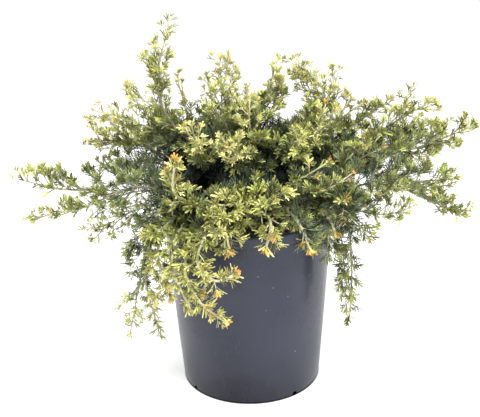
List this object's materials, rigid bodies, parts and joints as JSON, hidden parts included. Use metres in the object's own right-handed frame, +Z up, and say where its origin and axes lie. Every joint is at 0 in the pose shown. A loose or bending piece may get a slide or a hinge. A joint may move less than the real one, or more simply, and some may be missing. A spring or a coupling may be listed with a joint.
{
  "type": "potted grevillea",
  "caption": "Young spreading grevillea shrub in a round black nursery pot, its lobed leaves on trailing and upright stems.",
  "frame": {"origin": "centre of the pot's base, on the surface it stands on", "axes": "+Z up along the pot's axis, +X to the right and -Y towards the front"},
  "size_m": [0.5464, 0.3755, 0.4364],
  "materials": {
    "pot_plastic": "satin black injection-moulded plastic, dusty and finely scratched",
    "potting_mix": "damp composted bark",
    "bark": "young matt bark",
    "foliage": "matt leaf, dark blue-green inside and yellow-green outside with orange tips"
  },
  "bodies": {
    "root": {"pot": "pot_plastic", "potting_mix": "potting_mix", "woody_frame": "bark", "leafy_back_crest": "foliage", "leafy_back_crest_left": "foliage", "leafy_back_crest_right": "foliage", "leafy_back_long_left": "foliage", "leafy_back_long_right": "foliage", "leafy_back_spill": "foliage", "leafy_back_spill_left": "foliage", "leafy_crest_right": "foliage", "leafy_front_bronze": "foliage", "leafy_front_corner": "foliage", "leafy_front_curl": "foliage", "leafy_front_dangle": "foliage", "leafy_front_drop": "foliage", "leafy_front_fan_left": "foliage", "leafy_front_fan_right": "foliage", "leafy_front_hang": "foliage", "leafy_front_mass": "foliage", "leafy_front_nod": "foliage", "leafy_front_rim": "foliage", "leafy_front_rise": "foliage", "leafy_front_upright": "foliage", "leafy_left_back": "foliage", "leafy_left_crest": "foliage", "leafy_left_droop_a": "foliage", "leafy_left_droop_b": "foliage", "leafy_left_hang": "foliage", "leafy_left_hang_inner": "foliage", "leafy_left_high": "foliage", "leafy_left_long": "foliage", "leafy_left_low": "foliage", "leafy_left_rise": "foliage", "leafy_left_skirt": "foliage", "leafy_middle": "foliage", "leafy_middle_back": "foliage", "leafy_middle_front": "foliage", "leafy_middle_front_right": "foliage", "leafy_middle_left": "foliage", "leafy_middle_right": "foliage", "leafy_right_crest": "foliage", "leafy_right_droop": "foliage", "leafy_right_front_long": "foliage", "leafy_right_hang": "foliage", "leafy_right_high": "foliage", "leafy_right_long": "foliage", "leafy_right_low": "foliage", "leafy_right_mid": "foliage", "leafy_right_rim": "foliage", "leafy_right_skirt": "foliage", "leafy_right_upper": "foliage", "leafy_tall": "foliage", "leafy_tall_side": "foliage", "leafy_top_back": "foliage", "leafy_top_centre": "foliage", "leafy_top_lean": "foliage", "leafy_top_left": "foliage", "leafy_top_right": "foliage"}
  },
  "joints": []
}
